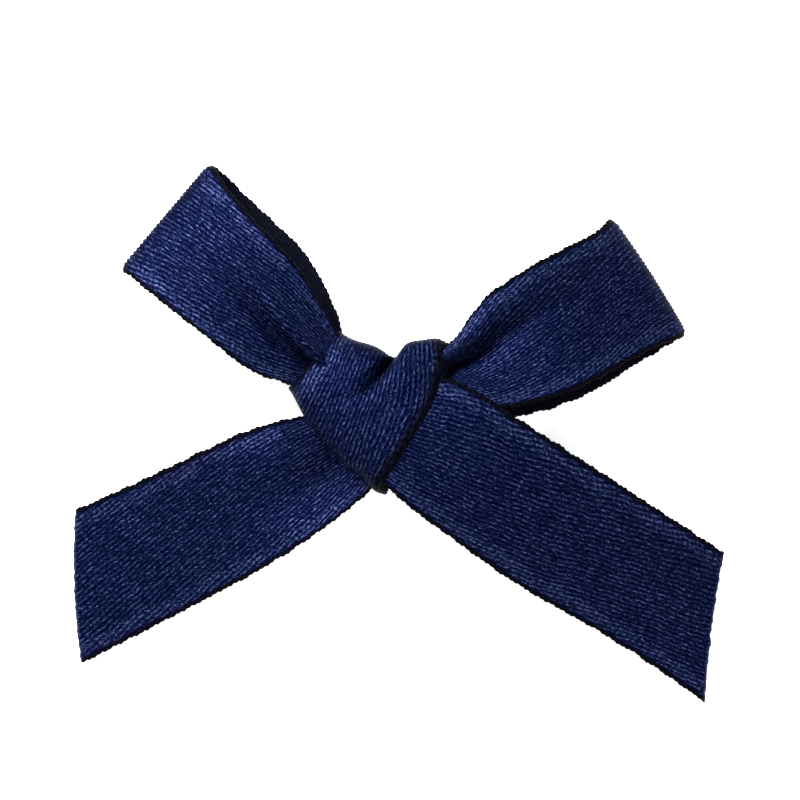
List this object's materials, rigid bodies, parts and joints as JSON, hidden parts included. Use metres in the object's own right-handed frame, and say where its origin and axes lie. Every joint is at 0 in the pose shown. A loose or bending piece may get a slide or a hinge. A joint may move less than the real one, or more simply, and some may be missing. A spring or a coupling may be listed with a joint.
{
  "type": "hair bow",
  "caption": "Small hand-tied satin ribbon bow with loops, a wrapped knot and angle-cut tails, glued to a sprung single-prong clip whose arched jaw opens to grip hair.",
  "frame": {"origin": "on the surface that the bow lies on, under the middle of its outline seen from the front", "axes": "+Z out of the bow's front, +X to the right seen from the front along its longest extent, +Y to its top"},
  "size_m": [0.05, 0.041, 0.0106],
  "materials": {
    "satin_ribbon": "navy polyester satin, soft diagonal weave, darker corded edges",
    "hot_glue": "translucent off-white, smooth",
    "clip_steel": "bright nickel plate",
    "spring_steel": "bright drawn wire"
  },
  "bodies": {
    "bow": {"knot_wrap": "satin_ribbon", "knot_core": "satin_ribbon", "left_loop": "satin_ribbon", "right_loop": "satin_ribbon", "left_tail": "satin_ribbon", "right_tail": "satin_ribbon", "glue_pad": "hot_glue", "clip_plate": "clip_steel", "hinge_pin": "clip_steel", "clip_spring": "spring_steel"},
    "jaw": {"clip_jaw": "clip_steel"}
  },
  "joints": [
    {"name": "jaw_hinge", "type": "hinge", "parent": "bow", "child": "jaw", "pos_m": [0.0019, -0.00049, 0.0023], "axis": [-0.5878, -0.809, 0], "range_deg": [0, 30], "stiffness_Nm_per_rad": 0.02, "springref_deg": -40.11, "deforming": ["clip_spring"]}
  ]
}
